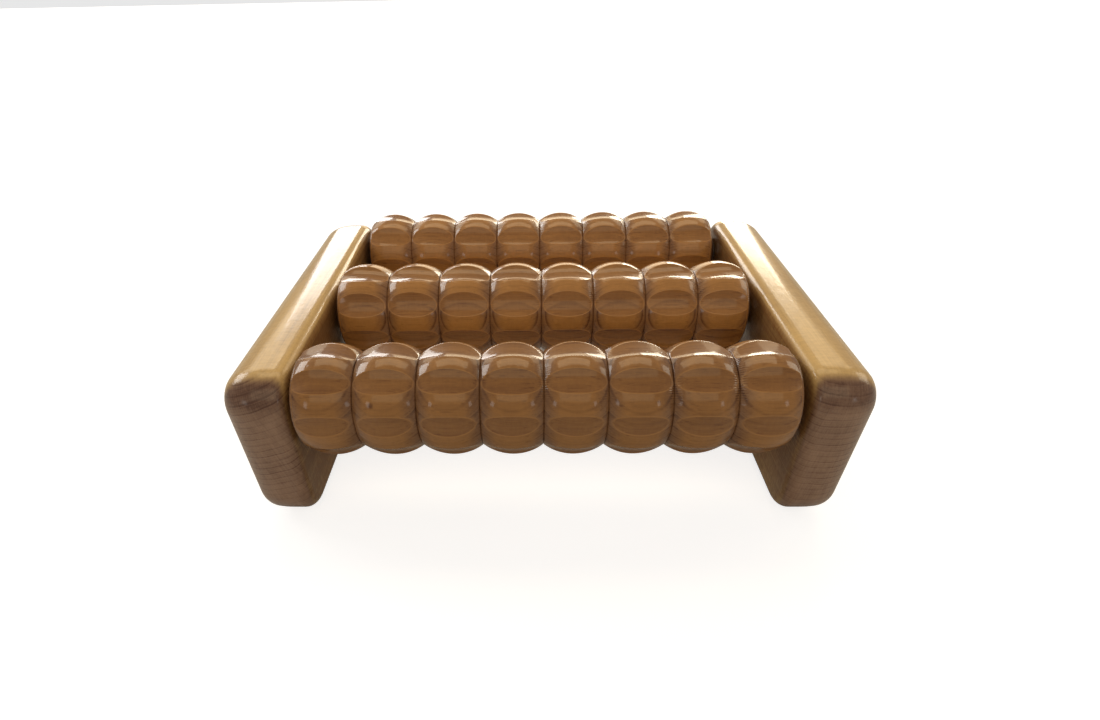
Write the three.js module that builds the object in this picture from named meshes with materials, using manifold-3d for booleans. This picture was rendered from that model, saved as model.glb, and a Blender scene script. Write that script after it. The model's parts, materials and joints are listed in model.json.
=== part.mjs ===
// Wooden foot massage roller: three turned and fluted rollers that spin on steel
// axles between two solid wooden side rails.
// Millimetres. +Z is up, +X runs along the rollers to the right-hand rail, -Y is the front.
// The origin is on the floor, under the middle of the object.

import * as THREE from 'three';
import { mergeVertices } from 'three/addons/utils/BufferGeometryUtils.js';
import Module from 'manifold-3d';

const wasm = await Module();
wasm.setup();

// ---- driving dimensions ------------------------------------------------------------

const CLEARANCE = 0.3;           // between pieces that touch or fit in each other

// rollers: a row of barrel-shaped bulges, with flutes cut lengthwise across them
const BULGE_COUNT = 8;
const BULGE_PITCH = 22;
const CROWN_RADIUS = 20.7;
const GROOVE_RADIUS = 17;
const FLUTE_COUNT = 8;
const FLUTE_DEPTH = 1.4;         // at the crown of a bulge
const FLUTE_FALL = 1.94;         // the flute's floor drops this much from crown to groove
const FLUTE_CUTTER_RADIUS = 16;
const END_CHAMFER = 0.8;
const ROLLER_ANGLES = { front: 7.6, middle: 35.3, rear: 4.7 };   // a flute, degrees above level
const ROLLER_SHIFT = -0.8;       // the rollers slide a little on their axles, and rest to the left

// axles and what turns on them
const AXLE_SPACING = 65;
const AXLE_RADIUS = 4;
const AXLE_GRIP = 10;            // length held inside each rail
const AXLE_END_CHAMFER = 0.5;
const BUSH_RADIUS = 6;
const BUSH_LENGTH = 14;
const BUSH_FLANGE_RADIUS = 7.6;
const BUSH_FLANGE_THICKNESS = 0.6;
const WASHER_RADIUS = 7;
const WASHER_THICKNESS = 0.6;
const END_GAP = 2.9;             // between a centred roller's end and the rail

// side rails
const RAIL_LENGTH = 160;
const RAIL_HEIGHT = 66;
const RAIL_THICKNESS = 24.5;
const RAIL_CORNER_RADIUS = 13.5;
const RAIL_OUTER_ROUNDING = { across: 14.5, down: 8.4 };   // the outer edges roll off gently
const RAIL_INNER_ROUNDING = { across: 5, down: 5 };
const AXLE_ABOVE_RAIL_FOOT = 51;
const MIDDLE_AXLE_RAISE = 1.2;

// screws that hold the rails on the axles, and the wooden plugs over them
const SCREW_RADIUS = 2;
const SCREW_THREAD_LENGTH = 12;
const SCREW_HEAD_RADIUS = 4.2;
const SCREW_HEAD_HEIGHT = 2.6;
const SCREW_TIP_CHAMFER = 0.5;
const SCREW_HEAD_CROWN = [1.2, 0.9];   // how far the head's edge slopes in, and down
const SCREW_SLOT = { length: 5, width: 1, depth: 1.3 };
const SCREW_WEB = 3.6;           // wood between the axle's end and the screw head
const PLUG_RADIUS = 6;
const PLUG_CHAMFER = 0.4;

// anti-slip pads under the rails
const PAD_LENGTH = 26;
const PAD_WIDTH = 4.6;
const PAD_THICKNESS = 1.5;
const PAD_CORNER_RADIUS = 1.6;
const PAD_FROM_CENTRE = 50;

// smoothness of round shapes
const ROUND_SEGMENTS = 18;
const SCREW_SEGMENTS = 12;
const RAIL_CORNER_SEGMENTS = 3;
const RAIL_ROUNDING_SEGMENTS = 4;
const PAD_CORNER_SEGMENTS = 2;
const RING_SHARES = [-1, -0.8, -0.33, 0.33, 0.8];   // of half a pitch, from each crown
const ROW_SHARES = [0, 0.5, 1, -1, -0.5];           // of a flute's half width, round the roller
const NARROWEST_ROW = 5;         // degrees that the rows keep apart where a flute runs out

// ---- worked-out dimensions ---------------------------------------------------------

const ROLLER_LENGTH = BULGE_COUNT * BULGE_PITCH;
const ROLLER_END = ROLLER_LENGTH / 2;
const RAIL_INNER_FACE = ROLLER_END + END_GAP;
const RAIL_OUTER_FACE = RAIL_INNER_FACE + RAIL_THICKNESS;
const RAIL_FOOT = PAD_THICKNESS + CLEARANCE;
const AXLE_HEIGHT = RAIL_FOOT + AXLE_ABOVE_RAIL_FOOT;
const AXLE_END = RAIL_INNER_FACE + AXLE_GRIP;
const AXLE_BORE_END = AXLE_END + CLEARANCE;
const COUNTERBORE_START = AXLE_BORE_END + SCREW_WEB;
const ROWS = [
  { name: 'front', y: -AXLE_SPACING, z: AXLE_HEIGHT },
  { name: 'middle', y: 0, z: AXLE_HEIGHT + MIDDLE_AXLE_RAISE },
  { name: 'rear', y: AXLE_SPACING, z: AXLE_HEIGHT },
];
const SIDES = [
  { name: 'left', sign: -1 },
  { name: 'right', sign: 1 },
];

// ---- materials ---------------------------------------------------------------------

const finish = (color, roughness, metalness) =>
  new THREE.MeshStandardMaterial({ color, roughness, metalness });
const RAIL_WOOD = finish(0xa5763a, 0.3, 0);
const ROLLER_WOOD = finish(0x8d5f30, 0.3, 0);
const PLUG_WOOD = finish(0x9a6c35, 0.4, 0);
const STEEL = finish(0xb4b6b8, 0.35, 1);
const ZINC = finish(0xc9c4b4, 0.4, 1);
const FIBRE = finish(0x5e3f2b, 0.6, 0);
const NYLON = finish(0x523829, 0.5, 0);
const RUBBER = finish(0x2c2a28, 0.85, 0);

// ---- solids ------------------------------------------------------------------------

// A closed three.js geometry as a manifold solid.
function toSolid(geometry) {
  const bare = geometry.index ? geometry.clone() : mergeVertices(geometry);
  bare.deleteAttribute('normal');
  bare.deleteAttribute('uv');
  const merged = mergeVertices(bare, 1e-4);
  return new wasm.Manifold(new wasm.Mesh({
    numProp: 3,
    vertProperties: new Float32Array(merged.attributes.position.array),
    triVerts: new Uint32Array(merged.index.array),
  }));
}

// A manifold solid as a three.js geometry.
function toGeometry(solid) {
  const mesh = solid.getMesh();
  const geometry = new THREE.BufferGeometry();
  geometry.setAttribute('position', new THREE.BufferAttribute(mesh.vertProperties, 3));
  geometry.setIndex(new THREE.BufferAttribute(mesh.triVerts, 1));
  geometry.computeVertexNormals();
  return geometry;
}

// A solid of revolution about the X axis. Each profile point is [radius, x].
function turned(profile, segments = ROUND_SEGMENTS) {
  const points = profile.map(([radius, x]) => new THREE.Vector2(radius, x));
  return new THREE.LatheGeometry(points, segments).rotateZ(-Math.PI / 2);
}

// A round bar along X, from one x to another.
function bar(radius, from, to, segments = ROUND_SEGMENTS) {
  return turned([[0, from], [radius, from], [radius, to], [0, to]], segments);
}

// A ring about X, from one x to another.
function ring(boreRadius, outerRadius, from, to) {
  const profile = [
    [boreRadius, from], [outerRadius, from], [outerRadius, to], [boreRadius, to], [boreRadius, from],
  ];
  return turned(profile);
}

// ---- rollers -----------------------------------------------------------------------

const HALF_PITCH = BULGE_PITCH / 2;
const BULGE_DROP = CROWN_RADIUS - GROOVE_RADIUS;
const BULGE_ARC_RADIUS = (HALF_PITCH ** 2 + BULGE_DROP ** 2) / (2 * BULGE_DROP);

// Radius of the turned bulge, at a distance along the roller from its crown.
function bulgeRadius(fromCrown) {
  return CROWN_RADIUS - BULGE_ARC_RADIUS + Math.sqrt(BULGE_ARC_RADIUS ** 2 - fromCrown ** 2);
}

// Radius of the flute's floor there: it follows the bulge, but less steeply.
function fluteFloor(fromCrown) {
  return CROWN_RADIUS - FLUTE_DEPTH - FLUTE_FALL * (fromCrown / HALF_PITCH) ** 2;
}

// Half of the angle that the flute takes out of the bulge there.
function fluteHalfAngle(fromCrown) {
  const bulge = bulgeRadius(fromCrown);
  const cutterAxis = fluteFloor(fromCrown) + FLUTE_CUTTER_RADIUS;
  const cosine = (bulge ** 2 + cutterAxis ** 2 - FLUTE_CUTTER_RADIUS ** 2) / (2 * bulge * cutterAxis);
  return Math.max(Math.acos(Math.min(cosine, 1)), THREE.MathUtils.degToRad(NARROWEST_ROW));
}

// Radius of the roller there, at an angle from the middle of a flute.
function rollerRadius(fromCrown, angle) {
  const cutterAxis = fluteFloor(fromCrown) + FLUTE_CUTTER_RADIUS;
  const reach = Math.sqrt(FLUTE_CUTTER_RADIUS ** 2 - (cutterAxis * Math.sin(angle)) ** 2);
  return Math.min(bulgeRadius(fromCrown), cutterAxis * Math.cos(angle) - reach);
}

// The rings of points along the roller, as distances from the crown of their bulge.
function rollerRings() {
  const rings = [];
  for (let bulge = 0; bulge < BULGE_COUNT; bulge++) {
    const crown = -ROLLER_END + (bulge + 0.5) * BULGE_PITCH;
    for (const share of RING_SHARES) {
      rings.push({ x: crown + share * HALF_PITCH, fromCrown: share * HALF_PITCH });
    }
  }
  rings.push({ x: ROLLER_END, fromCrown: HALF_PITCH });
  rings[0].x += END_CHAMFER;
  rings.at(-1).x -= END_CHAMFER;
  return rings;
}

// The outside of a roller. It is turned as plain bulges, then each point is moved so that
// rows of points lie along the flutes: the middle, halfway out and the rim on both sides.
// The two points at each end of the profile belong to the flat end faces.
function flutedBlank(fluteAngle) {
  const rings = rollerRings();
  const endRadius = GROOVE_RADIUS - END_CHAMFER;
  const segments = FLUTE_COUNT * ROW_SHARES.length;
  const profile = [
    [0, -ROLLER_END], [endRadius, -ROLLER_END],
    ...rings.map((each) => [bulgeRadius(each.fromCrown), each.x]),
    [endRadius, ROLLER_END], [0, ROLLER_END],
  ];
  const blank = turned(profile, segments);
  const position = blank.attributes.position;
  for (let segment = 0; segment <= segments; segment++) {
    const share = ROW_SHARES[segment % ROW_SHARES.length];
    const flute = Math.round(segment / ROW_SHARES.length);
    for (let row = 0; row < profile.length; row++) {
      const ringOfRow = rings[row - 2];
      const fromCrown = ringOfRow ? ringOfRow.fromCrown : HALF_PITCH;
      const angle = share * fluteHalfAngle(fromCrown);
      const radius = ringOfRow ? rollerRadius(fromCrown, angle) : profile[row][0];
      const around = THREE.MathUtils.degToRad(fluteAngle - 360 * flute / FLUTE_COUNT) - angle;
      const point = segment * profile.length + row;
      position.setXYZ(point, profile[row][1], -radius * Math.cos(around), radius * Math.sin(around));
    }
  }
  return blank;
}

function rollerGeometry(fluteAngle) {
  const boreRadius = AXLE_RADIUS + 2 * CLEARANCE;
  const socketRadius = BUSH_RADIUS + CLEARANCE;
  const socketFloor = ROLLER_END - BUSH_LENGTH - CLEARANCE;
  const beyond = ROLLER_END + 1;
  return toGeometry(toSolid(flutedBlank(fluteAngle))
    .subtract(toSolid(bar(boreRadius, -beyond, beyond)))
    .subtract(toSolid(bar(socketRadius, -beyond, -socketFloor)))
    .subtract(toSolid(bar(socketRadius, socketFloor, beyond))));
}

// ---- pieces on the axles, drawn for the right-hand end -------------------------------

function axleGeometry() {
  const threadRadius = SCREW_RADIUS + CLEARANCE;
  const threadEnd = AXLE_END - SCREW_THREAD_LENGTH - CLEARANCE;
  const shoulder = AXLE_END - AXLE_END_CHAMFER;
  const tip = AXLE_RADIUS - AXLE_END_CHAMFER;
  return turned([
    [0, -threadEnd], [threadRadius, -threadEnd], [threadRadius, -AXLE_END], [tip, -AXLE_END],
    [AXLE_RADIUS, -shoulder], [AXLE_RADIUS, shoulder],
    [tip, AXLE_END], [threadRadius, AXLE_END], [threadRadius, threadEnd], [0, threadEnd],
  ]);
}

function bushGeometry() {
  const bore = AXLE_RADIUS + CLEARANCE;
  const inner = ROLLER_END - BUSH_LENGTH;
  const flange = ROLLER_END + CLEARANCE;
  const outer = flange + BUSH_FLANGE_THICKNESS;
  return turned([
    [bore, inner], [BUSH_RADIUS, inner], [BUSH_RADIUS, flange], [BUSH_FLANGE_RADIUS, flange],
    [BUSH_FLANGE_RADIUS, outer], [bore, outer], [bore, inner],
  ]);
}

function washerGeometry() {
  const outer = RAIL_INNER_FACE - CLEARANCE;
  return ring(AXLE_RADIUS + CLEARANCE, WASHER_RADIUS, outer - WASHER_THICKNESS, outer);
}

function screwGeometry() {
  const tip = AXLE_END - SCREW_THREAD_LENGTH;
  const seat = COUNTERBORE_START + CLEARANCE;
  const top = seat + SCREW_HEAD_HEIGHT;
  const [crownIn, crownDown] = SCREW_HEAD_CROWN;
  const body = toSolid(turned([
    [0, tip], [SCREW_RADIUS - SCREW_TIP_CHAMFER, tip], [SCREW_RADIUS, tip + SCREW_TIP_CHAMFER],
    [SCREW_RADIUS, seat], [SCREW_HEAD_RADIUS, seat], [SCREW_HEAD_RADIUS, top - crownDown],
    [SCREW_HEAD_RADIUS - crownIn, top], [0, top],
  ], SCREW_SEGMENTS));
  const slot = new THREE.BoxGeometry(2 * SCREW_SLOT.depth, SCREW_SLOT.length, SCREW_SLOT.width);
  const crossSlot = slot.clone().rotateX(Math.PI / 2);
  return toGeometry(body
    .subtract(toSolid(slot.translate(top, 0, 0)))
    .subtract(toSolid(crossSlot.translate(top, 0, 0))));
}

function plugGeometry() {
  const inner = COUNTERBORE_START + 2 * CLEARANCE + SCREW_HEAD_HEIGHT;
  const outer = RAIL_OUTER_FACE - CLEARANCE;
  return turned([
    [0, inner], [PLUG_RADIUS, inner], [PLUG_RADIUS, outer - PLUG_CHAMFER],
    [PLUG_RADIUS - PLUG_CHAMFER, outer], [0, outer],
  ]);
}

// ---- rails and pads ----------------------------------------------------------------

function roundedRectangle(width, height, radius) {
  const shape = new THREE.Shape();
  const right = width / 2 - radius;
  const top = height / 2 - radius;
  shape.absarc(right, top, radius, 0, Math.PI / 2);
  shape.absarc(-right, top, radius, Math.PI / 2, Math.PI);
  shape.absarc(-right, -top, radius, Math.PI, 1.5 * Math.PI);
  shape.absarc(right, -top, radius, 1.5 * Math.PI, 2 * Math.PI);
  return shape;
}

// The rail's side outline, extruded along X from one x to another, with rounded-over edges.
function railSlab(from, to, rounding) {
  const slab = new THREE.ExtrudeGeometry(
    roundedRectangle(RAIL_LENGTH, RAIL_HEIGHT, RAIL_CORNER_RADIUS),
    {
      depth: to - from - 2 * rounding.across,
      curveSegments: RAIL_CORNER_SEGMENTS,
      bevelSegments: RAIL_ROUNDING_SEGMENTS,
      bevelThickness: rounding.across,
      bevelSize: rounding.down,
      bevelOffset: -rounding.down,
    },
  );
  slab.rotateX(Math.PI / 2).rotateZ(Math.PI / 2);
  return slab.translate(from + rounding.across, 0, RAIL_FOOT + RAIL_HEIGHT / 2);
}

// The right-hand rail: small rounding on the inner edges, large rounding on the outer ones,
// and a stepped hole for each axle, its screw and its plug.
function railSolid() {
  const inward = railSlab(RAIL_INNER_FACE, RAIL_OUTER_FACE + RAIL_THICKNESS, RAIL_INNER_ROUNDING);
  const outward = railSlab(RAIL_INNER_FACE - RAIL_THICKNESS, RAIL_OUTER_FACE, RAIL_OUTER_ROUNDING);
  let rail = toSolid(inward).intersect(toSolid(outward));
  const steps = [
    bar(AXLE_RADIUS + CLEARANCE, RAIL_INNER_FACE - 1, AXLE_BORE_END),
    bar(SCREW_RADIUS + CLEARANCE, RAIL_INNER_FACE, RAIL_OUTER_FACE, SCREW_SEGMENTS),
    bar(PLUG_RADIUS + CLEARANCE, COUNTERBORE_START, RAIL_OUTER_FACE + 1),
  ];
  for (const row of ROWS) {
    for (const step of steps) {
      rail = rail.subtract(toSolid(step.clone().translate(0, row.y, row.z)));
    }
  }
  return rail;
}

function padGeometry() {
  const pad = new THREE.ExtrudeGeometry(
    roundedRectangle(PAD_WIDTH, PAD_LENGTH, PAD_CORNER_RADIUS),
    { depth: PAD_THICKNESS, curveSegments: PAD_CORNER_SEGMENTS, bevelEnabled: false },
  );
  const flatStart = RAIL_INNER_FACE + RAIL_INNER_ROUNDING.across;
  const flatEnd = RAIL_OUTER_FACE - RAIL_OUTER_ROUNDING.across;
  return pad.translate((flatStart + flatEnd) / 2, 0, 0);
}

// ---- assembly ----------------------------------------------------------------------

const group = new THREE.Group();

function addMesh(name, geometry, material, x = 0, y = 0, z = 0) {
  const mesh = new THREE.Mesh(geometry, material);
  mesh.name = name;
  mesh.position.set(x, y, z);
  group.add(mesh);
  return mesh;
}

// A piece drawn for the right-hand side, turned half round for the left-hand side.
function addSidePiece(name, side, geometry, material, y, z, x = 0) {
  const mesh = addMesh(name, geometry, material, x, y, z);
  mesh.rotation.z = side.sign > 0 ? 0 : Math.PI;
  return mesh;
}

const rail = toGeometry(railSolid());
const pad = padGeometry();
for (const side of SIDES) {
  addSidePiece(`${side.name}_rail`, side, rail, RAIL_WOOD, 0, 0);
}

const axle = axleGeometry();
const bush = bushGeometry();
const washer = washerGeometry();
const screw = screwGeometry();
const plug = plugGeometry();
for (const row of ROWS) {
  addMesh(`${row.name}_axle`, axle, STEEL, 0, row.y, row.z);
  const roller = rollerGeometry(ROLLER_ANGLES[row.name]);
  addMesh(`${row.name}_roller`, roller, ROLLER_WOOD, ROLLER_SHIFT, row.y, row.z);
  for (const side of SIDES) {
    const label = `${row.name}_${side.name}`;
    addSidePiece(`${label}_bush`, side, bush, NYLON, row.y, row.z, ROLLER_SHIFT);
    addSidePiece(`${label}_washer`, side, washer, FIBRE, row.y, row.z);
    addSidePiece(`${label}_screw`, side, screw, ZINC, row.y, row.z);
    addSidePiece(`${label}_plug`, side, plug, PLUG_WOOD, row.y, row.z);
  }
}

for (const side of SIDES) {
  addSidePiece(`front_${side.name}_pad`, side, pad, RUBBER, -PAD_FROM_CENTRE, 0);
  addSidePiece(`rear_${side.name}_pad`, side, pad, RUBBER, PAD_FROM_CENTRE, 0);
}

export default group;
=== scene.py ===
"""Looks of a wooden foot massage roller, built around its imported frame.

Metres, in the frame's own axes: +Z up, +X along the rollers, -Y towards the front roller.
Three turned and fluted wooden rollers spin between two solid wooden side rails.
"""

import json
import math

import bmesh
import bpy
import numpy as np
from mathutils import Matrix, Vector


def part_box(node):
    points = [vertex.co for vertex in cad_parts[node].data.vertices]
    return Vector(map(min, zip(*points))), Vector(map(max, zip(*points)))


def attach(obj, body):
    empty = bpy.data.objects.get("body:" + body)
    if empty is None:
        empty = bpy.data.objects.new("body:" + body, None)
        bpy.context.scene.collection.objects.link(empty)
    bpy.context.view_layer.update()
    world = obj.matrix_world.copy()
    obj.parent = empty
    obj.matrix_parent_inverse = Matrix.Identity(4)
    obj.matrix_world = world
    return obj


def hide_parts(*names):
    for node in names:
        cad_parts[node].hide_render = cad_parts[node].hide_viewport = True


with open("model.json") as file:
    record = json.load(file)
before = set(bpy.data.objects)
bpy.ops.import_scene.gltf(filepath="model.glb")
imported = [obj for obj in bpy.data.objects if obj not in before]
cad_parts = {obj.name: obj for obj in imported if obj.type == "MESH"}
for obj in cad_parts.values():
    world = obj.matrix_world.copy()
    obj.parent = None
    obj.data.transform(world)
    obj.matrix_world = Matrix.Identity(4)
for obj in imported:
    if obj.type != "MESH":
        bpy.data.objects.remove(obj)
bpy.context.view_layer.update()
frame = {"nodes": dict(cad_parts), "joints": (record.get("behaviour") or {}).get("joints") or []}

MM = 0.001
ROWS = ("front", "middle", "rear")
SIDES = {"left": -1, "right": 1}
AXLES = {row: Vector(joint["pos_m"]) for row, joint in zip(ROWS, frame["joints"])}

# ---- driving dimensions of the fine shapes, in millimetres --------------------------

BULGES = 8
CROWN_RADIUS = 20.7
GROOVE_RADIUS = 17.0
FLUTES = 8
FLUTE_CUTTER_RADII = {"front": 16.0, "middle": 13.0, "rear": 16.0}
FLUTE_ANGLES = {"front": 7.6, "middle": 35.3, "rear": 4.7}
# Hand-held cutting leaves no two flutes alike. For the first flutes of a roller: degrees off
# its even place, half width at the crown in degrees, and length as a share of the bulge.
FLUTE_CUTS = {
    "front": ((0.0, 10.8, 0.84), (1.5, 12.9, 0.94), (-5.1, 15.2, 0.98)),
    "middle": ((0.0, 14.5, 0.94), (0.0, 15.0, 0.96)),
    "rear": ((0.0, 13.5, 0.92), (0.0, 14.0, 0.94), (-2.0, 15.0, 0.96)),
}
# The other flutes are drawn at random within these, in degrees.
OTHER_FLUTE_ASTRAY = 1.5
OTHER_FLUTE_HALF_WIDTH = (12.5, 14.5)
OTHER_FLUTE_LENGTH = 0.92         # not drawn: they are all this share of the bulge long
FLUTE_WANDER = 0.7        # degrees by which one hollow may differ from the next along a flute
FLUTE_WIDTH_CHANGE = 0.5
FLUTE_RIM_SOFTNESS = 0.12
RIM_BAND = math.radians(0.9)      # half the width of the fine mesh along a flute's rim
GROOVE_NOTCH_HALF_WIDTH = 0.22
GROOVE_NOTCH_DEPTH = 0.22
ROLLER_END_ROUNDING = 1.6
# painted shade: GROOVE_SHADE darkens the grooves between the bulges, FLUTE_SHADE the flutes
GROOVE_SHADE = 0.25
FLUTE_SHADE = 0.30
# pale flute rims: partly rubbed by use, partly a painted highlight
RIM_RUB_AND_HIGHLIGHT = 0.60
RIM_PALE_REACH = 0.12
# painted shade on the rails' inner faces and on the curves over their ends
INNER_FACE_SHADE = 0.75
END_CURVE_SHADE = 0.50
CHATTER_TEETH = 134       # round the whole roller
ROLLER_BORE = 4.6
BUSH_SOCKET_RADIUS = 6.3
BUSH_SOCKET_DEPTH = 14.3
SOCKET_CHAMFER = 0.6

RAIL_CORNER_RADIUS = 13.5
RAIL_OUTER_ROUNDING = {"across": 14.5, "down": 8.4}
RAIL_INNER_ROUNDING = {"across": 5.0, "down": 5.0}
RAIL_FOOT_ROUNDING = {"across": 7.5, "down": 6.5}      # of the lower outer edge alone
RAIL_TAPER = 2.4          # how much thinner a rail is at its foot, taken off its inner face
AXLE_HOLE_RADIUS = 4.3
AXLE_HOLE_DEPTH = 10.3
SCREW_HOLE_RADIUS = 2.3
PLUG_HOLE_RADIUS = 6.3
PLUG_HOLE_DEPTH = 11.0
DRILL_OFFSET = 1.0        # keeps the ends of the drills off the planes of the rail's faces

AXLE_CHAMFER = 0.5
TAPPED_HOLE_DEPTH = 12.3
RUNNING_BORE = 4.3        # radius inside the bushes and the washers
BUSH_RADIUS = 6.0
BUSH_LEAD_IN = 0.4
BUSH_FLANGE = 0.6
BROKEN_EDGE = 0.15
PLUG_CHAMFER = 0.3
PLUG_FACE_EDGE = 0.5
PLUG_FACE_ROUNDING = 0.45
PLUG_FACE_MIDDLE = 0.3    # radius of the last ring of a plug's face, as a share of the plug's
PAD_CORNER_RADIUS = 1.6

# ---- floor, light and camera, in metres, degrees and millimetres of lens -------------

FLOOR_HALF = 3.0
FLOOR_LIFT = 0.78
# Painted shadow: where the floor shows between the rollers it does not glow, from where to where it
# fades.
SHADOW_PATCH_ASIDE = (0.100, 0.090)
SHADOW_PATCH_FRONT = (-0.010, 0.010)
SHADOW_PATCH_REAR = (0.085, 0.070)
GOLD, WARM, COOL = (1.0, 0.82, 0.54), (1.0, 0.91, 0.72), (1.0, 0.985, 0.95)
WORLD_COLOUR = (1.0, 0.92, 0.84, 1)
WORLD_STRENGTH = 0.25
PANEL_DISTANCE = 6.0
PANEL_TARGET = Vector((0, 0, 0.06))
# name, azimuth, elevation, degrees wide, degrees high, radiance, colour
PANELS = (
    ("window_left", -22, 16, 13, 20, 5.2, COOL),
    ("window_middle", 0, 12, 22, 22, 1.9, GOLD),
    ("window_right", 20, 12, 15, 22, 7.5, WARM),
    ("wall_left", -64, 29, 22, 18, 4.5, COOL),
    ("wall_right", 70, 26, 20, 20, 2.0, WARM),
    ("corner_left", -38, 28, 18, 20, 1.5, WARM),
    ("corner_right", 36, 31, 20, 18, 1.2, GOLD),
    ("ceiling", 0, 66, 56, 18, 1.7, GOLD),
    ("front_left", -133, 15, 8, 9, 1.5, COOL),
    ("front_right", 133, 15, 7, 9, 1.3, COOL),
    ("front_fill", 180, 46, 70, 34, 0.62, GOLD),
)
CAMERA_PLACE = Vector((-0.00469, -0.23588, 0.18076))
CAMERA_YAW = -1.77
CAMERA_PITCH = 40.01
CAMERA_ROLL = 1.32
CAMERA_LENS = 18.885
CAMERA_SHIFT = (0.0281, 0.0637)

# ---- mesh helpers -------------------------------------------------------------------


def new_object(name, mesh, body, material, replaced=()):
    """Link a finished mesh as a piece that rides on a body and stands for CAD nodes."""
    piece = bpy.data.objects.new(name, mesh)
    bpy.context.scene.collection.objects.link(piece)
    piece.data.materials.append(material)
    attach(piece, body)
    for node in replaced:
        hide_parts(node)
    return piece


def skin_rings(name, rings, closed=False):
    """A mesh through rings of points (rings x points x 3, metres), each ring closed on itself.

    closed joins the last ring to the first; otherwise both ends get a flat cap.
    """
    rings = np.asarray(rings, float)
    count, around = rings.shape[:2]
    faces = []
    last = count if closed else count - 1
    for ring in range(last):
        following = (ring + 1) % count
        for step in range(around):
            right = (step + 1) % around
            faces.append((ring * around + step, following * around + step,
                          following * around + right, ring * around + right))
    if not closed:
        faces.append(tuple(range(around)))
        faces.append(tuple((count - 1) * around + step for step in reversed(range(around))))
    mesh = bpy.data.meshes.new(name)
    mesh.from_pydata(rings.reshape(-1, 3).tolist(), [], faces)
    tidy = bmesh.new()
    tidy.from_mesh(mesh)
    bmesh.ops.recalc_face_normals(tidy, faces=tidy.faces)
    tidy.to_mesh(mesh)
    tidy.free()
    return mesh


def smooth(mesh, sharp_degrees=32):
    """Smooth shading, with an edge kept sharp where the faces meet at more than an angle."""
    mesh.polygons.foreach_set("use_smooth", [True] * len(mesh.polygons))
    mesh.set_sharp_from_angle(angle=math.radians(sharp_degrees))
    return mesh


def turned(name, profile, centre, around=64, closed=False):
    """A body of revolution about the X axis through centre. profile holds (x, radius) in mm."""
    angles = np.linspace(0, 2 * math.pi, around, endpoint=False)
    rings = [[(x * MM, centre.y + radius * MM * math.cos(a), centre.z + radius * MM * math.sin(a))
              for a in angles] for x, radius in profile]
    return smooth(skin_rings(name, rings, closed))


def with_modifiers_applied(mesh, name, add_modifiers):
    """The mesh after modifiers, with none left on the piece."""
    holder = bpy.data.objects.new(name + "_holder", mesh)
    bpy.context.scene.collection.objects.link(holder)
    add_modifiers(holder)
    graph = bpy.context.evaluated_depsgraph_get()
    result = bpy.data.meshes.new_from_object(holder.evaluated_get(graph))
    result.name = name
    bpy.data.objects.remove(holder)
    return result


# ---- node helpers -------------------------------------------------------------------


class Nodes:
    """A short way to write a material's node tree."""

    def __init__(self, name):
        self.material = bpy.data.materials.new(name)
        self.material.use_nodes = True
        self.tree = self.material.node_tree
        self.shader = self.tree.nodes["Principled BSDF"]

    def put(self, socket, value):
        if isinstance(value, bpy.types.NodeSocket):
            self.tree.links.new(value, socket)
        else:
            socket.default_value = value

    def node(self, kind, settings=None, **inputs):
        made = self.tree.nodes.new(kind)
        for key, value in (settings or {}).items():
            setattr(made, key, value)
        for key, value in inputs.items():
            self.put(made.inputs[key.replace("_", " ")], value)
        return made

    def math(self, operation, first, second=0.0, clamp=False):
        made = self.tree.nodes.new("ShaderNodeMath")
        made.operation = operation
        made.use_clamp = clamp
        for socket, value in zip(made.inputs, (first, second)):
            self.put(socket, value)
        return made.outputs[0]

    def vector(self, operation, first, second=(0, 0, 0)):
        made = self.tree.nodes.new("ShaderNodeVectorMath")
        made.operation = operation
        self.put(made.inputs[0], first)
        self.put(made.inputs[1], second)
        return made.outputs["Value"] if operation in ("LENGTH", "DOT_PRODUCT") else made.outputs[0]

    def noise(self, vector, scale, detail=2.0, roughness=0.5):
        made = self.node("ShaderNodeTexNoise", Vector=vector, Scale=scale, Detail=detail,
                         Roughness=roughness)
        return made.outputs["Fac"]

    def ramp(self, value, low, high, to_low=0.0, to_high=1.0, kind="SMOOTHSTEP"):
        made = self.node("ShaderNodeMapRange", {"interpolation_type": kind, "clamp": True})
        for socket, amount in zip(made.inputs, (value, low, high, to_low, to_high)):
            self.put(socket, amount)
        return made.outputs[0]

    def mix(self, share, first, second, blend="MIX"):
        made = self.node("ShaderNodeMix", {"data_type": "RGBA", "blend_type": blend})
        self.put(made.inputs[0], share)
        self.put(made.inputs[6], first)
        self.put(made.inputs[7], second)
        return made.outputs[2]

    def bump(self, height, strength, distance):
        made = self.node("ShaderNodeBump", Height=height, Strength=strength, Distance=distance)
        return made.outputs[0]

    def set(self, **values):
        for key, value in values.items():
            self.put(self.shader.inputs[key.replace("_", " ")], value)


# ---- materials ----------------------------------------------------------------------


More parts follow.
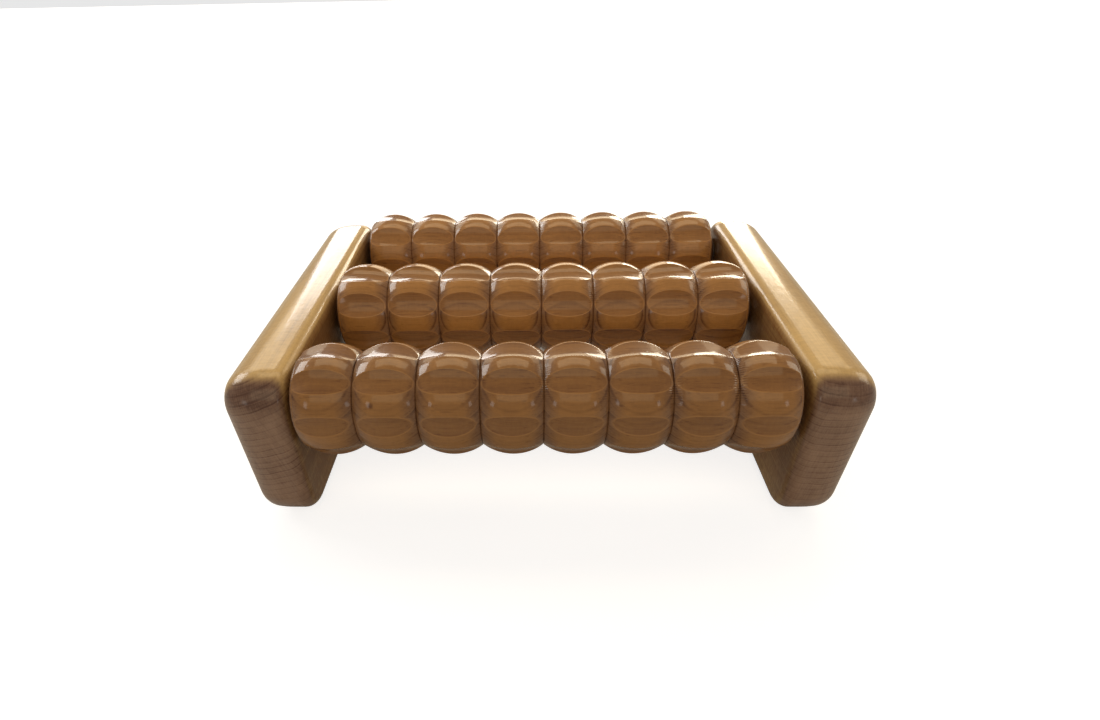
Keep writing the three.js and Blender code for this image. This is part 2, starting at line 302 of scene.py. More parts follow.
def wood(name, grain, pith, ring_mm, look, seed=0.0, marks=None):
    """Clear-lacquered wood. grain is the axis that the fibres run along, 0 for X or 1 for Y.

    pith is a point on the tree's centre line, which runs along the grain, in metres.
    look holds the colours and the strengths of the marks that the grain makes.
    marks, when given, adds a piece's own marks and its painted shade and highlight: it returns tone and
    height.
    """
    n = Nodes(name)
    coords = n.node("ShaderNodeTexCoord")
    place = coords.outputs["Object"]
    along = tuple(1.0 if axis == grain else 0.0 for axis in range(3))
    across = tuple(1.0 - part for part in along)

    def stretched(along_share, offset=0.0):
        scale = tuple(along_share if axis == grain else 1.0 for axis in range(3))
        scaled = n.vector("MULTIPLY", place, scale)
        return n.vector("ADD", scaled, (seed + offset, seed * 1.7 - offset, seed * 0.6))

    def around_half(value, strength):
        return n.math("MULTIPLY", n.math("SUBTRACT", value, 0.5), strength)

    normal = coords.outputs["Normal"]
    end_grain = n.math("ABSOLUTE", n.vector("DOT_PRODUCT", normal, along))
    end_grain = n.ramp(end_grain, 0.26, 0.60)

    # growth rings, as distance from the pith line, bent by slow noise: thin dark lines
    flat = n.vector("MULTIPLY", n.vector("SUBTRACT", place, pith), across)
    bend = n.noise(stretched(0.12), 26.0, 2.0)
    fine_bend = n.noise(stretched(0.10, 3.0), 160.0, 2.0)
    distance = n.math("ADD", n.vector("LENGTH", flat), n.math("MULTIPLY", bend, look["bend"] * MM))
    distance = n.math("ADD", distance, n.math("MULTIPLY", fine_bend, 0.0006))
    turns = n.math("DIVIDE", distance, ring_mm * MM)
    part = n.math("FRACT", turns)
    late = n.math("MULTIPLY", n.ramp(part, 0.72, 0.90), n.ramp(part, 1.0, 0.95))
    slope = n.math("MULTIPLY", n.ramp(part, 0.0, 0.9, kind="LINEAR"), n.ramp(part, 1.0, 0.95))
    fine_part = n.math("FRACT", n.math("MULTIPLY", turns, 2.7))
    fine_late = n.math("MULTIPLY", n.ramp(fine_part, 0.55, 0.85), n.ramp(fine_part, 1.0, 0.92))
    ring_strength = n.ramp(n.noise(stretched(0.05, 7.0), 60.0, 1.0), 0.30, 0.70, 0.45, 1.0)
    rings = n.math("ADD", n.math("MULTIPLY", late, 0.75), n.math("MULTIPLY", slope, 0.25))
    rings = n.math("ADD", rings, n.math("MULTIPLY", fine_late, 0.35))
    rings = n.math("MULTIPLY", rings, ring_strength)
    ring_depth = n.ramp(end_grain, 0.0, 1.0, look["side_rings"], look["end_rings"])

    # fibres and pores run along the grain; figure is the faint banding across it
    fibre = n.noise(stretched(0.025, 1.0), 1500.0, 3.0, 0.6)
    streak = n.noise(stretched(0.03, 2.0), 330.0, 3.0, 0.6)
    patch = n.noise(stretched(0.35, 5.0), 70.0, 2.0)
    dash = n.ramp(n.noise(stretched(0.06, 9.0), 1300.0, 1.0), 0.60, 0.74)
    figure_scale = tuple(4.6 if axis == grain else 1.6 for axis in range(3))
    figure = n.noise(n.vector("MULTIPLY", place, figure_scale), 190.0, 2.0, 0.6)

    # rays: on the end grain, faint lines that point at the pith
    apart = n.node("ShaderNodeSeparateXYZ", Vector=flat).outputs
    sideways = apart[1] if grain == 0 else apart[0]
    heading = n.math("ARCTAN2", sideways, apart[2])
    ray_place = n.node("ShaderNodeCombineXYZ", X=n.math("MULTIPLY", heading, 260.0),
                       Y=n.math("MULTIPLY", n.vector("LENGTH", flat), 60.0), Z=seed).outputs[0]
    ray = n.math("MULTIPLY", around_half(n.noise(ray_place, 1.0, 2.0), 0.55), end_grain)

    tone = n.math("MULTIPLY", rings, ring_depth)
    tone = n.math("ADD", tone, ray)
    tone = n.math("ADD", tone, around_half(streak, look["streaks"]))
    tone = n.math("ADD", tone, around_half(fibre, 0.45))
    tone = n.math("ADD", tone, around_half(patch, 0.60))
    tone = n.math("ADD", tone, around_half(figure, look["figure"]))
    tone = n.math("ADD", tone, n.math("MULTIPLY", dash, look["dashes"]))
    tone = n.math("ADD", tone, 0.14)

    # the lacquer nearly fills the grain and leaves a soft orange peel and a few dust nibs
    peel = n.noise(n.vector("ADD", place, (seed, 0, 0)), 420.0, 2.0)
    wave = n.noise(stretched(0.5, 4.0), 95.0, 1.0)
    nibs = n.ramp(n.noise(n.vector("ADD", place, (0, seed, 4.0)), 900.0, 0.0), 0.76, 0.86)
    surface = n.math("ADD", n.math("MULTIPLY", peel, 0.35), wave)
    surface = n.math("ADD", surface, n.math("MULTIPLY", nibs, 0.35))
    surface = n.math("ADD", surface, n.math("MULTIPLY", fibre, 0.12))
    surface = n.math("ADD", surface, n.math("MULTIPLY", figure, look["ripple"]))
    grain_height = n.math("ADD", fibre, n.math("MULTIPLY", dash, -0.6))
    if marks:
        extra_tone, extra_height = marks(n, place, normal)
        tone = n.math("ADD", tone, extra_tone)
        surface = n.math("ADD", surface, extra_height)
        grain_height = n.math("ADD", grain_height, extra_height)
    tone = n.math("MULTIPLY", tone, 1.0, clamp=True)
    colour = n.mix(tone, (*look["light"], 1), (*look["dark"], 1))
    end_colour = n.mix(end_grain, colour, (*look["end_tint"], 1), "MULTIPLY")
    coat_normal = n.bump(surface, 0.25, 0.00022)
    base_normal = n.bump(grain_height, 0.25, 0.00010)

    roughness = n.math("ADD", 0.38, around_half(figure, 0.24))
    n.set(Base_Color=end_colour, Roughness=roughness, Normal=base_normal, Coat_Normal=coat_normal,
          Coat_Weight=1.0, Coat_Roughness=look["gloss_roughness"], Coat_IOR=1.50, IOR=1.45)
    n.set(**{"Specular_IOR_Level": 0.12})
    return n.material


def metal(name, colour, roughness):
    """Bar or plated steel, with fine brushing that goes round the X axis."""
    n = Nodes(name)
    place = n.node("ShaderNodeTexCoord").outputs["Object"]
    lines = n.noise(n.vector("MULTIPLY", place, (1.0, 0.03, 0.03)), 9000.0, 2.0)
    stain = n.noise(place, 160.0, 3.0)
    tone = n.ramp(stain, 0.3, 0.7, 0.86, 1.0)
    n.set(Base_Color=n.mix(1.0, (*colour, 1), tone, "MULTIPLY"), Metallic=1.0,
          Roughness=n.ramp(lines, 0.2, 0.8, roughness - 0.08, roughness + 0.10),
          Normal=n.bump(lines, 0.15, 0.00003))
    return n.material


def pressed(name, dark, light, roughness):
    """Brown nylon or vulcanised fibre: cloudy, with a slightly gritty turned surface."""
    n = Nodes(name)
    place = n.node("ShaderNodeTexCoord").outputs["Object"]
    cloud = n.noise(place, 240.0, 3.0)
    grit = n.noise(place, 3000.0, 2.0)
    n.set(Base_Color=n.mix(cloud, (*dark, 1), (*light, 1)),
          Roughness=n.ramp(grit, 0.3, 0.7, roughness - 0.06, roughness + 0.10),
          Normal=n.bump(grit, 0.10, 0.00005))
    return n.material


def rubber(name):
    n = Nodes(name)
    place = n.node("ShaderNodeTexCoord").outputs["Object"]
    grit = n.noise(place, 2200.0, 3.0, 0.7)
    dust = n.noise(place, 120.0, 3.0)
    n.set(Base_Color=n.mix(dust, (0.018, 0.017, 0.016, 1), (0.045, 0.042, 0.038, 1)),
          Roughness=n.ramp(grit, 0.3, 0.7, 0.75, 0.95), Normal=n.bump(grit, 0.5, 0.00010))
    return n.material


RAIL_LOOK = {
    "light": (0.80, 0.530, 0.205), "dark": (0.265, 0.130, 0.046), "end_tint": (0.49, 0.45, 0.74),
    "bend": 4.0, "side_rings": 0.12, "end_rings": 0.38, "streaks": 0.40, "figure": 0.45, "dashes": 0.08,
    "ripple": 0.50, "gloss_roughness": 0.15,
}
ROLLER_LOOK = {
    "light": (0.455, 0.216, 0.062), "dark": (0.155, 0.058, 0.016), "end_tint": (0.66, 0.70, 1.05),
    "bend": 9.0, "side_rings": 0.16, "end_rings": 0.60, "streaks": 0.55, "figure": 0.25, "dashes": 0.22,
    "ripple": 0.10, "gloss_roughness": 0.08,
}
# painted light: the middle and rear rollers get lighter colours to stand in for light bounced between the
# rollers
PAINTED_LIGHT_ROLLER_LOOK = {**ROLLER_LOOK, "light": (0.60, 0.290, 0.084), "dark": (0.215, 0.084, 0.022)}
ROLLER_LOOKS = {"front": ROLLER_LOOK, "middle": PAINTED_LIGHT_ROLLER_LOOK, "rear": PAINTED_LIGHT_ROLLER_LOOK}
# Pin knots: millimetres along the roller, degrees above level on its front, radius in mm.
PIN_KNOTS = {"front": ((-59.5, 30.0, 0.8), (-67.0, 29.0, 0.5)), "middle": (), "rear": ()}
RAIL_PITHS = {"left": (-0.138, 0, 0.170), "right": (0.110, 0, 0.160)}
RAIL_SEEDS = {"left": 1.3, "right": 4.1}
ROLLER_PITHS = {"front": (0.030, -0.060), "middle": (-0.055, 0.020), "rear": (0.045, 0.050)}
ROLLER_SEEDS = {"front": 7.7, "middle": 11.9, "rear": 15.2}


def turning_marks_and_painted_light(row):
    """What the lathe and the fluting cutter left on one roller, with painted shade in its grooves and
    flutes and a painted highlight on the flute rims, as a function of the shader.
    """
    low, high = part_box(f"{row}_roller")
    pitch = (high.x - low.x) / BULGES
    centre = AXLES[row]

    def marks(n, place, normal):
        apart = n.node("ShaderNodeSeparateXYZ", Vector=place).outputs
        forward = n.math("SUBTRACT", centre.y, apart[1])
        upward = n.math("SUBTRACT", apart[2], centre.z)
        heading = n.math("ARCTAN2", upward, forward)
        share = n.math("FRACT", n.math("DIVIDE", n.math("SUBTRACT", apart[0], low.x), pitch))
        to_groove = n.math("MINIMUM", share, n.math("SUBTRACT", 1.0, share))
        # painted shade in the grooves between the bulges
        groove_shade = n.ramp(to_groove, 0.020, 0.0, 0.0, GROOVE_SHADE)

        # chatter: fine teeth across the flanks of the grooves, strong in some places only
        slant = n.math("MULTIPLY", to_groove, 12.0)
        tooth = n.math("SINE", n.math("ADD", n.math("MULTIPLY", heading, CHATTER_TEETH), slant))
        where = n.noise(n.vector("MULTIPLY", place, (0.6, 1.0, 1.0)), 55.0, 1.0)
        flank = n.math("MULTIPLY", n.ramp(to_groove, 0.004, 0.02), n.ramp(to_groove, 0.13, 0.05))
        side = n.math("MULTIPLY", n.ramp(apart[0], -0.02, 0.02, 0.05, 1.0), n.ramp(heading, 0.45, 0.75))
        strength = n.math("MULTIPLY", n.math("MULTIPLY", flank, side), n.ramp(where, 0.42, 0.58))
        chatter = n.math("MULTIPLY", tooth, strength)

        # painted shade makes the flutes a little darker than the turned wood; their rims are pale, partly
        # rubbed by use and partly a painted highlight
        flute = n.node("ShaderNodeAttribute", {"attribute_name": "flute"}).outputs["Fac"]
        rim = n.node("ShaderNodeAttribute", {"attribute_name": "rim"}).outputs["Fac"]
        tone = n.math("ADD", groove_shade, n.math("MULTIPLY", chatter, 0.35))
        tone = n.math("ADD", tone, n.math("MULTIPLY", flute, FLUTE_SHADE))
        tone = n.math("SUBTRACT", tone, n.math("MULTIPLY", rim, RIM_RUB_AND_HIGHLIGHT))
        for along, above, radius in PIN_KNOTS[row]:
            rise = math.radians(above)
            spot = (along * MM, centre.y - CROWN_RADIUS * MM * math.cos(rise),
                    centre.z + CROWN_RADIUS * MM * math.sin(rise))
            away = n.vector("LENGTH", n.vector("SUBTRACT", place, spot))
            tone = n.math("ADD", tone, n.ramp(away, 2 * radius * MM, 0.5 * radius * MM, 0.0, 0.75))
        return tone, n.math("MULTIPLY", chatter, 1.8)

    return marks


def rail_painted_shade(side):
    """Painted shade where a rail is darker than its top, as a function of the shader.

    That is its inner face, and the end grain on the curve over its ends.
    """
    inward = (-SIDES[side], 0, 0)

    def marks(n, place, normal):
        facing = n.vector("DOT_PRODUCT", normal, inward)
        # painted shade: the inner face and the end curve turn away from the light
        inner_face = n.ramp(facing, 0.75, 0.98, 0.0, INNER_FACE_SHADE)
        upward = n.vector("DOT_PRODUCT", normal, (0, 0, 1))
        endward = n.math("ABSOLUTE", n.vector("DOT_PRODUCT", normal, (0, 1, 0)))
        curve = n.math("MULTIPLY", n.ramp(upward, 0.05, 0.50), n.ramp(endward, 0.30, 0.60))
        return n.math("ADD", inner_face, n.math("MULTIPLY", curve, END_CURVE_SHADE)), 0.0

    return marks


rail_materials = {
    side: wood(f"rail_wood_{side}", 1, RAIL_PITHS[side], 2.8, RAIL_LOOK, seed=RAIL_SEEDS[side],
               marks=rail_painted_shade(side))
    for side in SIDES
}
roller_materials = {}
for row in ROWS:
    aside, above = ROLLER_PITHS[row]
    pith = (0, AXLES[row].y + aside, AXLES[row].z + above)
    roller_materials[row] = wood(f"roller_wood_{row}", 0, pith, 3.4, ROLLER_LOOKS[row],
                                 seed=ROLLER_SEEDS[row], marks=turning_marks_and_painted_light(row))
plug_material = wood("plug_wood", 1, (0.0, 0, 0.120), 1.6, RAIL_LOOK, seed=21.0)
steel = metal("axle_steel", (0.62, 0.62, 0.63), 0.30)
zinc = metal("zinc_steel", (0.66, 0.64, 0.58), 0.34)
washer_fibre = pressed("fibre", (0.090, 0.040, 0.019), (0.135, 0.062, 0.030), 0.60)
bush_nylon = pressed("nylon", (0.070, 0.033, 0.018), (0.100, 0.048, 0.026), 0.55)
pad_rubber = rubber("rubber")

# ---- rollers ------------------------------------------------------------------------


def bulge_radius(from_crown, half_pitch):
    """Radius of the turned bulge, in mm, with the thin knife cut in the groove beside it."""
    drop = CROWN_RADIUS - GROOVE_RADIUS
    arc = (half_pitch ** 2 + drop ** 2) / (2 * drop)
    turned_radius = CROWN_RADIUS - arc + math.sqrt(arc ** 2 - from_crown ** 2)
    to_groove = half_pitch - abs(from_crown)
    notch = GROOVE_NOTCH_DEPTH * max(0.0, 1.0 - to_groove / GROOVE_NOTCH_HALF_WIDTH)
    return turned_radius - notch


class Flute:
    """One hollow across a bulge, cut by a round cutter that follows the bulge less steeply."""

    def __init__(self, cutter, half_width, length_share):
        """half_width is in radians at the crown; length_share is of the bulge's length."""
        self.cutter = cutter
        reach = CROWN_RADIUS * math.cos(half_width)
        axis = reach + math.sqrt(reach ** 2 - CROWN_RADIUS ** 2 + cutter ** 2)
        self.floor = axis - cutter
        depth = CROWN_RADIUS - self.floor
        self.fall = CROWN_RADIUS - GROOVE_RADIUS - depth / length_share ** 2

    def radius(self, share, angle):
        """Radius of the hollow, in mm. share is 0 at the crown and 1 at the groove."""
        axis = self.floor - self.fall * share ** 2 + self.cutter
        reach = self.cutter ** 2 - (axis * np.sin(angle)) ** 2
        return axis * np.cos(angle) - np.sqrt(np.maximum(reach, 0.0))

    def half_angle(self, share, plain):
        """How far round the roller the hollow reaches from its middle, in radians."""
        near, far = 0.0, math.pi / FLUTES
        if self.radius(share, near) >= plain:
            return 0.0
        for _ in range(24):
            middle = (near + far) / 2
            if self.radius(share, middle) < plain:
                near = middle
            else:
                far = middle
        return near


def soft_minimum(first, second, softness):
    """The smaller of two values, rounded where they cross."""
    share = np.maximum(softness - np.abs(first - second), 0.0) / softness
    return np.minimum(first, second) - share * share * softness / 4


def sector_angles(half_angle):
    """Angles round one flute's sector, close together where the flute's rims are."""
    half_sector = math.pi / FLUTES
    reach = max(half_angle, math.radians(2.5))
    inside = np.linspace(-1, 1, 13)[1:-1] * (reach - RIM_BAND)
    rim = np.linspace(-RIM_BAND, RIM_BAND, 7)
    outside = np.linspace(reach + RIM_BAND, half_sector, 6)[1:-1]
    return np.concatenate([-outside[::-1], -reach + rim, inside, reach + rim, outside, [half_sector]])


def roller_mesh(row):
    """A roller as one closed skin: fluted outside, round ends, bush sockets and bore."""
    low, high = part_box(f"{row}_roller")
    half_length = (high.x - low.x) / 2 / MM
    middle_x = (high.x + low.x) / 2 / MM
    half_pitch = half_length / BULGES
    centre = AXLES[row]
    random = np.random.default_rng(ROWS.index(row) + 5)
    cuts = list(FLUTE_CUTS[row])
    while len(cuts) < FLUTES:
        astray = random.uniform(-OTHER_FLUTE_ASTRAY, OTHER_FLUTE_ASTRAY)
        cuts.append((astray, random.uniform(*OTHER_FLUTE_HALF_WIDTH), OTHER_FLUTE_LENGTH))
    grid = (FLUTES, BULGES)
    wander = np.radians(random.uniform(-FLUTE_WANDER, FLUTE_WANDER, grid))
    width_change = np.radians(random.uniform(-FLUTE_WIDTH_CHANGE, FLUTE_WIDTH_CHANGE, grid))

    sector = 2 * math.pi / FLUTES
    ring_shares = np.concatenate([
        np.linspace(-1, -0.95, 4, endpoint=False), np.linspace(-0.95, 0.95, 34, endpoint=False),
        np.linspace(0.95, 1, 4, endpoint=False)])
    start = math.radians(FLUTE_ANGLES[row])

    flute_marks, rim_marks = [], []

    def ring(x, angles, radii):
        around = start + angles
        return np.stack([
            np.full_like(angles, (middle_x + x) * MM),
            centre.y - radii * MM * np.cos(around),
            centre.z + radii * MM * np.sin(around)], axis=1)

    rings = []
    for bulge in range(BULGES):
        crown = -half_length + (2 * bulge + 1) * half_pitch
        flutes = [Flute(FLUTE_CUTTER_RADII[row], math.radians(width) + change, length)
                  for (_, width, length), change in zip(cuts, width_change[:, bulge])]
        for share in ring_shares:
            from_crown = share * half_pitch
            x = crown + from_crown
            plain = bulge_radius(from_crown, half_pitch)
            if half_length - abs(x) < GROOVE_NOTCH_HALF_WIDTH:
                plain = GROOVE_RADIUS
            angles, radii, inside, pale_rims = [], [], [], []
            for place, flute in enumerate(flutes):
                off = sector_angles(flute.half_angle(abs(share), plain))
                hollow = flute.radius(abs(share), off)
                fade = np.cos(off / sector * math.pi) ** 2
                astray = math.radians(cuts[place][0]) + wander[place, bulge]
                angles.append(place * sector + off + astray * fade)
                radii.append(soft_minimum(plain, hollow, FLUTE_RIM_SOFTNESS))
                inside.append(np.clip((plain - hollow) / FLUTE_RIM_SOFTNESS, 0.0, 1.0))
                # the pale rim mark, partly rubbed by use and partly a painted highlight
                pale_rims.append(np.clip(1.0 - np.abs(plain - hollow) / RIM_PALE_REACH, 0.0, 1.0))
            if half_length - abs(x) > ROLLER_END_ROUNDING:
                rings.append(ring(x, np.concatenate(angles), np.concatenate(radii)))
                flute_marks.append(np.concatenate(inside))
                rim_marks.append(np.concatenate(pale_rims))
    plain_angles = np.concatenate([flute * sector + sector_angles(0.2) for flute in range(FLUTES)])

    # rounded end, flat end face, bush socket and bore
    turn = np.linspace(0, math.pi / 2, 6)
    rounding = ROLLER_END_ROUNDING
    face = [(half_length - rounding * (1 - math.sin(t)), GROOVE_RADIUS - rounding * (1 - math.cos(t)))
            for t in turn]
    socket = [(half_length, BUSH_SOCKET_RADIUS + SOCKET_CHAMFER),
              (half_length - SOCKET_CHAMFER, BUSH_SOCKET_RADIUS),
              (half_length - BUSH_SOCKET_DEPTH, BUSH_SOCKET_RADIUS),
              (half_length - BUSH_SOCKET_DEPTH, ROLLER_BORE)]
    right_end = face + socket
    closing = [ring(x, plain_angles, np.full_like(plain_angles, radius)) for x, radius in right_end]
    opening = [ring(-x, plain_angles, np.full_like(plain_angles, radius)) for x, radius in right_end]
    mesh = skin_rings(f"{row}_roller_turned", opening[::-1] + rings + closing, closed=True)
    bare = np.zeros((len(right_end), len(plain_angles)))
    for name, values in (("flute", flute_marks), ("rim", rim_marks)):
        mark = mesh.attributes.new(name, "FLOAT", "POINT")
        mark.data.foreach_set("value", np.concatenate([bare, values, bare]).ravel())
    return smooth(mesh, 38)


for row in ROWS:
    new_object(f"{row}_roller_wood", roller_mesh(row), f"{row}_roller_set",
               roller_materials[row], [f"{row}_roller"])

# ---- rails --------------------------------------------------------------------------


def rounded_outline(half_y, half_z, radius, per_corner=18):
    """Points of a rounded rectangle in the YZ plane, in mm, round its own centre."""
    points = []
    for quarter, (sign_y, sign_z) in enumerate(((1, 1), (-1, 1), (-1, -1), (1, -1))):
        for angle in np.linspace(0, math.pi / 2, per_corner) + quarter * math.pi / 2:
            points.append((sign_y * (half_y - radius) + radius * math.cos(angle),
                           sign_z * (half_z - radius) + radius * math.sin(angle)))
    return points


def rail_mesh(side):
    low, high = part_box(f"{side}_rail")
    sign = SIDES[side]
    inner = (low.x if sign > 0 else high.x) / MM
    thickness = (high.x - low.x) / MM
    half_y, half_z = (high.y - low.y) / 2 / MM, (high.z - low.z) / 2 / MM
    centre_z = (high.z + low.z) / 2 / MM

    def foot_inset(depth):
        """How far the lower outer edge is rounded away at one depth: less than the upper edge."""
        past = 1 - (thickness - depth) / RAIL_FOOT_ROUNDING["across"]
        return RAIL_FOOT_ROUNDING["down"] * (1 - math.sqrt(1 - max(past, 0.0) ** 2))

    def section_point(depth, inset, y, z):
        """A point of the rail's skin, after the foot's own rounding and the taper."""
        if z < 0 and depth > thickness / 2:
            z *= (half_z - foot_inset(depth)) / (half_z - inset)
        below_top = (half_z - z) / (2 * half_z)
        taper = RAIL_TAPER * below_top * (1 - depth / thickness)
        return ((inner + sign * (depth + taper)) * MM, y * MM, (centre_z + z) * MM)

    support = 0.4
    loops = [(0.0, RAIL_INNER_ROUNDING["down"] + support)]
    for turn in np.linspace(0, math.pi / 2, 11):
        loops.append((RAIL_INNER_ROUNDING["across"] * (1 - math.cos(turn)),
                      RAIL_INNER_ROUNDING["down"] * (1 - math.sin(turn))))
    for turn in np.linspace(0, math.pi / 2, 21):
        loops.append((thickness - RAIL_OUTER_ROUNDING["across"] * (1 - math.sin(turn)),
                      RAIL_OUTER_ROUNDING["down"] * (1 - math.cos(turn))))
    loops.append((thickness, RAIL_OUTER_ROUNDING["down"] + support))
    rings = []
    for depth, inset in loops:
        outline = rounded_outline(half_y - inset, half_z - inset, RAIL_CORNER_RADIUS - inset)
        rings.append([section_point(depth, inset, y, z) for y, z in outline])
    solid = skin_rings(f"{side}_rail_block", rings)

    holes = []
    for row in ROWS:
        axle = AXLES[row]
        for start, end, radius in (
                (-DRILL_OFFSET, AXLE_HOLE_DEPTH, AXLE_HOLE_RADIUS),
                (DRILL_OFFSET, thickness - DRILL_OFFSET, SCREW_HOLE_RADIUS),
                (thickness - PLUG_HOLE_DEPTH, thickness + DRILL_OFFSET, PLUG_HOLE_RADIUS)):
            profile = [(inner + sign * start, radius), (inner + sign * end, radius)]
            cutter = bpy.data.objects.new("cutter", turned("cutter", profile, axle))
            bpy.context.scene.collection.objects.link(cutter)
            holes.append(cutter)

    def drill(holder):
        for cutter in holes:
            cut = holder.modifiers.new("drill", "BOOLEAN")
            cut.operation = "DIFFERENCE"
            cut.solver = "EXACT"
            cut.object = cutter

    mesh = with_modifiers_applied(solid, f"{side}_rail_board", drill)
    for cutter in holes:
        bpy.data.objects.remove(cutter)
    smooth(mesh, 40)

    def settle_normals(holder):
        weighted = holder.modifiers.new("weighted", "WEIGHTED_NORMAL")
        weighted.keep_sharp = True

    return with_modifiers_applied(mesh, f"{side}_rail_board", settle_normals)


for side in SIDES:
    new_object(f"{side}_rail_wood", rail_mesh(side), "frame",
               rail_materials[side], [f"{side}_rail"])

# ---- axles, bushes, washers, plugs --------------------------------------------------


def span(node):
    """The node's inner and outer x, in mm from the middle, as positive distances."""
    low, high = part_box(node)
    ends = sorted((abs(low.x) / MM, abs(high.x) / MM))
    return ends[0], ends[1]


def radius_of(node):
    low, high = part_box(node)
    return (high.z - low.z) / 2 / MM


def axle_profile(row):
    """A chamfered bar with a tapped hole in each end."""
    end = span(f"{row}_axle")[1]
    radius = radius_of(f"{row}_axle")
    shaft = [(-end, radius - AXLE_CHAMFER), (-end + AXLE_CHAMFER, radius),
             (end - AXLE_CHAMFER, radius), (end, radius - AXLE_CHAMFER)]
    bored = [(end, SCREW_HOLE_RADIUS), (end - TAPPED_HOLE_DEPTH, SCREW_HOLE_RADIUS)]
    return [(-x, r) for x, r in reversed(bored)] + shaft + bored


def bush_profile(label):
    inner, outer = span(f"{label}_bush")
    rim = radius_of(f"{label}_bush")
    shoulder = outer - BUSH_FLANGE
    return [(inner, RUNNING_BORE), (inner, BUSH_RADIUS - BUSH_LEAD_IN),
            (inner + BUSH_LEAD_IN, BUSH_RADIUS), (shoulder, BUSH_RADIUS),
            (shoulder, rim - BROKEN_EDGE), (shoulder + BROKEN_EDGE, rim),
            (outer - BROKEN_EDGE, rim), (outer, rim - BROKEN_EDGE),
            (outer, RUNNING_BORE + BROKEN_EDGE), (outer - BROKEN_EDGE, RUNNING_BORE)]


def washer_profile(label):
    inner, outer = span(f"{label}_washer")
    rim = radius_of(f"{label}_washer")
    return [(inner, RUNNING_BORE), (inner, rim - BROKEN_EDGE), (inner + BROKEN_EDGE, rim),
            (outer - BROKEN_EDGE, rim), (outer, rim - BROKEN_EDGE), (outer, RUNNING_BORE)]


def plug_profile(label):
    inner, outer = span(f"{label}_plug")
    rim = radius_of(f"{label}_plug")
    return [(inner, rim - PLUG_CHAMFER), (inner + PLUG_CHAMFER, rim),
            (outer - PLUG_FACE_ROUNDING, rim), (outer - BROKEN_EDGE, rim - BROKEN_EDGE),
            (outer, rim - PLUG_FACE_EDGE), (outer, PLUG_FACE_MIDDLE * rim)]


def add_turned(name, profile, row, sign, closed, body, material, node):
    """One turned piece on a row's axle. sign is -1 for a profile drawn for the other side."""
    sided = [(sign * x, r) for x, r in profile]
    new_object(name, turned(name, sided, AXLES[row], closed=closed), body, material, [node])


for row in ROWS:
    add_turned(f"{row}_axle_bar", axle_profile(row), row, 1, False,
               "frame", steel, f"{row}_axle")
    for side, sign in SIDES.items():
        label = f"{row}_{side}"
        add_turned(f"{label}_bush_turned", bush_profile(label), row, sign, True,
                   f"{row}_roller_set", bush_nylon, f"{label}_bush")
        add_turned(f"{label}_washer_ring", washer_profile(label), row, sign, True,
                   "frame", washer_fibre, f"{label}_washer")
        add_turned(f"{label}_plug_disc", plug_profile(label), row, sign, False,
                   "frame", plug_material, f"{label}_plug")
        frame["nodes"][f"{label}_screw"].data.materials.clear()
        frame["nodes"][f"{label}_screw"].data.materials.append(zinc)

# ---- anti-slip pads -----------------------------------------------------------------


def pad_mesh(name, node):
    """A thin rounded pad with a soft lower edge, a little narrower where it meets the wood."""
    low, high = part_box(node)
    half_x, half_y = (high.x - low.x) / 2 / MM, (high.y - low.y) / 2 / MM
    centre_x, centre_y = (high.x + low.x) / 2, (high.y + low.y) / 2
    rings = []
    for inset, z in ((0.3, high.z / MM), (0, high.z / MM - 0.2), (0, 0.45), (0.15, 0.15), (0.5, 0.0)):
        outline = rounded_outline(half_y - inset, half_x - inset, PAD_CORNER_RADIUS - inset, 8)
        rings.append([(centre_x + x * MM, centre_y + y * MM, z * MM) for y, x in outline])
    return smooth(skin_rings(name, rings), 50)


for end in ("front", "rear"):
    for side in SIDES:
        name = f"{end}_{side}_pad_rubber"
        new_object(name, pad_mesh(name, f"{end}_{side}_pad"), "frame", pad_rubber,
                   [f"{end}_{side}_pad"])

# ---- floor, light and camera --------------------------------------------------------


def build_floor():
    """A pale floor. It looks almost white, and sends little light back up to the object. A painted shadow
    darkens it between the rollers.
    """
    mesh = bpy.data.meshes.new("floor")
    corners = [(x * FLOOR_HALF, y * FLOOR_HALF, 0) for x, y in ((-1, -1), (1, -1), (1, 1), (-1, 1))]
    mesh.from_pydata(corners, [], [(0, 1, 2, 3)])
    floor = bpy.data.objects.new("floor", mesh)
    bpy.context.scene.collection.objects.link(floor)
    n = Nodes("pale_floor")
    seen = n.node("ShaderNodeLightPath").outputs["Is Camera Ray"]
    place = n.node("ShaderNodeSeparateXYZ", Vector=n.node("ShaderNodeTexCoord").outputs["Object"]).outputs
    aside = n.math("ABSOLUTE", place[0])
    # painted shadow on the floor under and between the rollers
    painted_shadow = n.math("MULTIPLY", n.ramp(aside, *SHADOW_PATCH_ASIDE), n.ramp(place[1], *SHADOW_PATCH_FRONT))
    painted_shadow = n.math("MULTIPLY", painted_shadow, n.ramp(place[1], *SHADOW_PATCH_REAR))
    lift = n.math("MULTIPLY", n.math("SUBTRACT", 1.0, painted_shadow), FLOOR_LIFT)
    n.set(Base_Color=(0.60, 0.60, 0.60, 1), Roughness=0.9, Emission_Color=(1, 1, 1, 1),
          Emission_Strength=n.math("MULTIPLY", seen, lift))
    n.set(**{"Specular_IOR_Level": 0.0})
    mesh.materials.append(n.material)


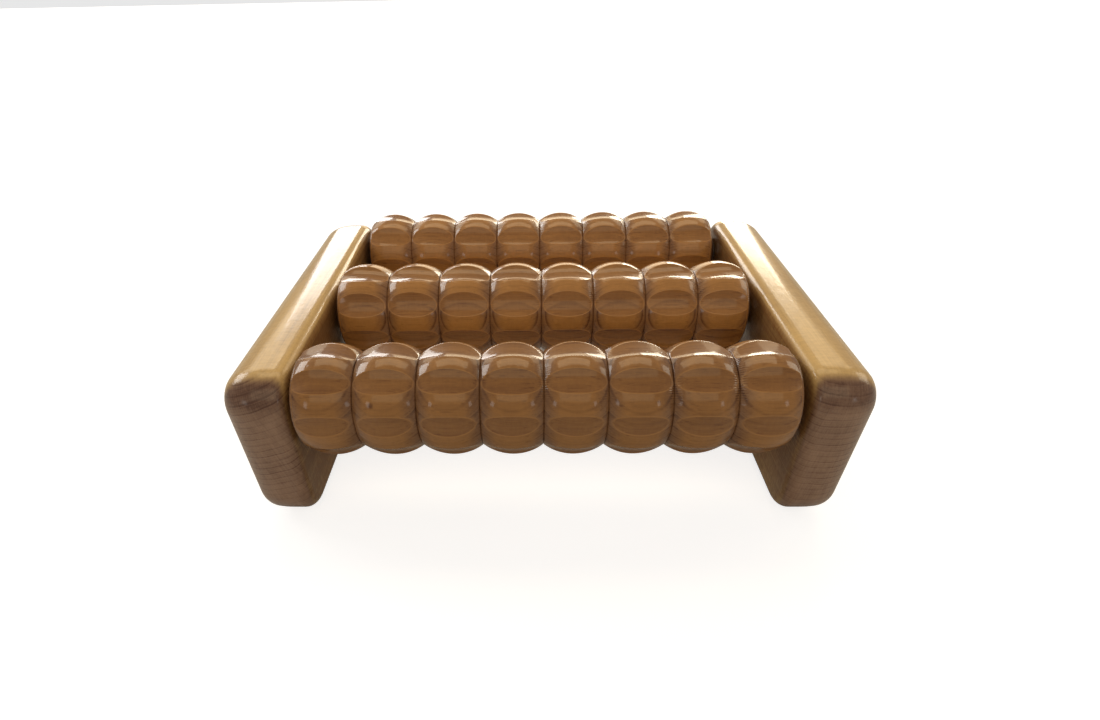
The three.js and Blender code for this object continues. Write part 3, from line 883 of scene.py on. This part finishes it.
def panel(name, azimuth, elevation, wide, high, radiance, colour):
    """A soft light panel that faces the object.

    azimuth is in degrees from straight behind the object towards its right, elevation is above
    the floor; wide and high are the degrees that the panel takes up.
    """
    turn, rise = math.radians(azimuth), math.radians(elevation)
    away = Vector((math.sin(turn) * math.cos(rise), math.cos(turn) * math.cos(rise), math.sin(rise)))
    light = bpy.data.lights.new(name, "AREA")
    light.shape = "RECTANGLE"
    light.size = 2 * PANEL_DISTANCE * math.tan(math.radians(wide / 2))
    light.size_y = 2 * PANEL_DISTANCE * math.tan(math.radians(high / 2))
    light.energy = radiance * math.pi * light.size * light.size_y
    light.color = colour
    holder = bpy.data.objects.new(name, light)
    holder.location = PANEL_TARGET + PANEL_DISTANCE * away
    holder.rotation_euler = away.to_track_quat("Z", "Y").to_euler()
    bpy.context.scene.collection.objects.link(holder)


def build_light():
    """The panels, and a dim warm world that the camera sees as white."""
    world = bpy.data.worlds.new("studio")
    bpy.context.scene.world = world
    world.use_nodes = True
    tree = world.node_tree
    tree.nodes["Background"].inputs["Color"].default_value = WORLD_COLOUR
    tree.nodes["Background"].inputs["Strength"].default_value = WORLD_STRENGTH
    bright = tree.nodes.new("ShaderNodeBackground")
    bright.inputs["Strength"].default_value = 1.0
    path = tree.nodes.new("ShaderNodeLightPath")
    pick = tree.nodes.new("ShaderNodeMixShader")
    tree.links.new(path.outputs["Is Camera Ray"], pick.inputs[0])
    tree.links.new(tree.nodes["Background"].outputs[0], pick.inputs[1])
    tree.links.new(bright.outputs[0], pick.inputs[2])
    tree.links.new(pick.outputs[0], tree.nodes["World Output"].inputs["Surface"])
    for settings in PANELS:
        panel(*settings)


def build_camera():
    """The view from in front and above, close to the object, with a wide lens."""
    yaw, pitch, roll = (math.radians(angle) for angle in (CAMERA_YAW, CAMERA_PITCH, CAMERA_ROLL))
    forward = Vector((math.sin(yaw) * math.cos(pitch), math.cos(yaw) * math.cos(pitch), -math.sin(pitch)))
    level = Vector((math.cos(yaw), -math.sin(yaw), 0))
    down = forward.cross(level)
    right = math.cos(roll) * level + math.sin(roll) * down
    up = right.cross(forward)
    turn = Matrix((right, up, -forward)).transposed().to_4x4()
    camera = bpy.data.cameras.new("camera")
    camera.sensor_width = 36.0
    camera.lens = CAMERA_LENS
    camera.shift_x, camera.shift_y = CAMERA_SHIFT
    camera.clip_start = 0.01
    holder = bpy.data.objects.new("camera", camera)
    holder.matrix_world = Matrix.Translation(CAMERA_PLACE) @ turn
    bpy.context.scene.collection.objects.link(holder)
    bpy.context.scene.camera = holder


build_floor()
build_light()
build_camera()
bpy.context.scene.view_settings.view_transform = "Standard"
